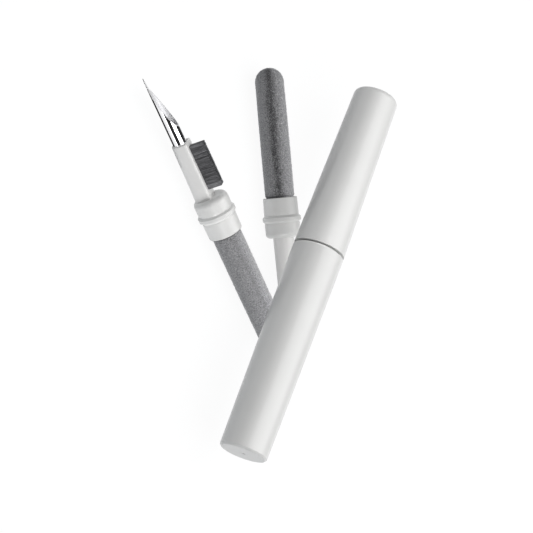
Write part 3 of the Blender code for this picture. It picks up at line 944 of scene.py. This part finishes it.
def light_groups(floor):
    """Collections of pieces that a light can be kept to, by name."""
    pieces = [o for o in bpy.data.objects
              if o.type == "MESH" and "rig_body" in o and "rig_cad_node" not in o]
    metal = [p for p in pieces if p.name in ("left_quill_scoop", "right_quill_scoop")]
    pen = [p for p in pieces if p["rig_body"] in ("cap", "barrel", "stored_tool")]
    members = {"pen_pieces": pen, "pen_and_floor": pen + [floor], "metal_pieces": metal}
    for shell in ("barrel", "cap"):
        members[shell + "_piece"] = [p for p in pen if p.name == shell + "_body"]
    for side in ("left", "right"):
        members[side + "_pieces"] = [p for p in pieces
                                     if p["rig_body"] == side + "_tool" and p not in metal]
        members[side + "_sponge"] = [p for p in pieces if p.name == side + "_flock_sponge"]
    groups = {}
    for name, objects in members.items():
        groups[name] = bpy.data.collections.new(name)
        for piece in objects:
            groups[name].objects.link(piece)
    return groups


def add_softbox(name, direction, distance, size, power):
    """A soft rectangular light, aimed at the set."""
    light = bpy.data.lights.new(name, "AREA")
    light.shape = "RECTANGLE"
    light.size, light.size_y = size
    light.energy = power
    obj = bpy.data.objects.new(name, light)
    bpy.context.scene.collection.objects.link(obj)
    aimed(obj, Vector(direction).normalized() * distance, LIGHT_AIM)
    return obj


def add_camera():
    """The camera, turned about its line of sight so that the tools stand upright in view."""
    a, e, roll = (math.radians(v) for v in (CAMERA_AZIMUTH, CAMERA_ELEVATION, CAMERA_ROLL))
    back = Vector((math.sin(a) * math.cos(e), -math.cos(a) * math.cos(e), math.sin(e)))
    level = Vector((math.cos(a), math.sin(a), 0.0))
    upright = back.cross(level)
    right = level * math.cos(roll) - upright * math.sin(roll)
    up = level * math.sin(roll) + upright * math.cos(roll)
    data = bpy.data.cameras.new("camera")
    data.lens = CAMERA_LENS
    data.sensor_width = 36.0
    data.clip_start, data.clip_end = 0.01, 50.0
    camera = bpy.data.objects.new("camera", data)
    bpy.context.scene.collection.objects.link(camera)
    turn = Matrix((right, up, back)).transposed().to_4x4()
    camera.matrix_world = Matrix.Translation(CAMERA_AIM + back * CAMERA_DISTANCE) @ turn
    bpy.context.scene.camera = camera


def add_world():
    """A studio that is pale to look at, and dim where the metal and plastic reflect it."""
    world = bpy.data.worlds.new("studio")
    bpy.context.scene.world = world
    world.use_nodes = True
    tree = world.node_tree
    background = tree.nodes["Background"]
    background.inputs["Color"].default_value = (0.03, 0.03, 0.03, 1.0)
    pale = add_node(tree, "Background", {"Color": (1.0, 1.0, 1.0, 1.0)})
    seen = add_node(tree, "LightPath").outputs["Is Camera Ray"]
    mixed = add_node(tree, "MixShader", {0: seen, 1: background.outputs[0], 2: pale.outputs[0]})
    tree.links.new(mixed.outputs[0], tree.nodes["World Output"].inputs["Surface"])


def flat_sheet(name, corners, material):
    """A flat four-cornered piece of the stage."""
    mesh = bpy.data.meshes.new(name)
    mesh.from_pydata(corners, [], [(0, 1, 2, 3)])
    mesh.materials.append(material)
    sheet = bpy.data.objects.new(name, mesh)
    bpy.context.scene.collection.objects.link(sheet)
    return sheet


def add_floor():
    """The floor, under the lowest point of the tools."""
    half = FLOOR_HALF
    corners = [(-half, -half, 0), (half, -half, 0), (half, half, 0), (-half, half, 0)]
    return flat_sheet("floor", corners, pale_floor())


def make_pen(material):
    """The two shells, mouth to mouth round the stored tool's collar."""
    pen = tool_frame("stored")
    mouth = span("barrel_shell", pen)[0][2] * MM
    to_barrel = Matrix.Translation((0.0, 0.0, mouth))
    make_shell("barrel_body", "barrel_shell", "barrel", pen @ to_barrel, material, barrel_end, 0.5,
               BARREL_LIP)
    mouth = -span("cap_shell", pen)[1][2] * MM
    to_cap = Matrix.Rotation(math.pi, 4, "Y") @ Matrix.Translation((0.0, 0.0, mouth))
    make_shell("cap_body", "cap_shell", "cap", pen @ to_cap, material, cap_end, 0.08)


def make_tools():
    """The stored tool and the two loose ones."""
    collar = white_plastic("collar_white", (0.78, 0.78, 0.77), (0.82, 0.82, 0.81), 0.30, 0.44, 1.2e-6)
    arm = white_plastic("arm_white", (0.85, 0.845, 0.835), (0.88, 0.875, 0.865), 0.30, 0.42, 1.2e-6)
    placed = [(tool, body, tool_frame(tool)) for tool, body in TOOLS.items()]
    measured = [ToolSizes(tool, matrix) for tool, _, matrix in placed]
    first = measured[0]
    ends = (float(first.brush_low[2]), float(first.brush_high[2]))
    strip = nylon("strip_nylon", (0.06, 0.06, 0.065), (0.09, 0.09, 0.095), *ends)
    bristle = nylon("bristle_nylon", (0.085, 0.085, 0.09), (0.225, 0.225, 0.235), *ends)
    metal = chrome(float(first.metal_radius), float(first.metal_x))
    for index, ((tool, body, matrix), sizes) in enumerate(zip(placed, measured)):
        make_collar(tool, body, matrix, sizes, collar)
        make_arm(tool, body, matrix, sizes, arm)
        make_scoop(tool, body, matrix, sizes, metal)
        make_strip(tool, body, matrix, sizes, strip)
        make_bristles(tool, body, matrix, sizes, bristle, 11 + index)
        make_stem(tool, body, matrix, sizes, collar)
        # Each sponge gets its own strip of painted shade.
        fabric = flock(tool + "_flock", math.radians(SHADE_STRIP[tool][0]), SHADE_STRIP[tool][1])
        make_sponge(tool, body, matrix, sizes, fabric, 21 + index)


def add_lights(floor):
    """Softboxes: some for the pen, some for each loose tool and some for their polished metal."""
    groups = light_groups(floor)
    for name, lit, shaded_by, direction, distance, size, power in SOFTBOXES:
        linking = add_softbox(name, direction, distance, size, power).light_linking
        linking.receiver_collection = groups[lit]
        if shaded_by:
            linking.blocker_collection = groups[shaded_by]


def add_flag(tool):
    """A strip of black card under a polished scoop, which only reflections show: a painted shadow that
    stands in for the floor's shade beneath the scoop.
    """
    matrix = tool_frame(tool)
    low, high = span(tool + "_metal_scoop", matrix)
    ends = [matrix @ (Vector((0.0, 0.0, float(z))) * MM) for z in (low[2] - FLAG_REACH, high[2])]
    along = Vector((ends[1].x - ends[0].x, ends[1].y - ends[0].y, 0.0))
    side = Vector((-along.y, along.x, 0.0)).normalized() * FLAG_HALF * MM
    corners = [(end.x + side.x * sign, end.y + side.y * sign, FLAG_HEIGHT * MM)
               for end, sign in ((ends[0], 1), (ends[0], -1), (ends[1], -1), (ends[1], 1))]
    flag = flat_sheet("black_flag", corners, shadow_card())
    flag.visible_camera = flag.visible_diffuse = flag.visible_shadow = False


add_camera()
add_world()
stage_floor = add_floor()
make_pen(white_plastic("shell_white", (0.80, 0.80, 0.79), (0.815, 0.815, 0.805), 0.28, 0.36, 8.0e-7))
make_tools()
# Painted shadow under the left scoop, seen only in its reflections.
add_flag("left")
add_lights(stage_floor)
bpy.context.scene.view_settings.view_transform = "Standard"
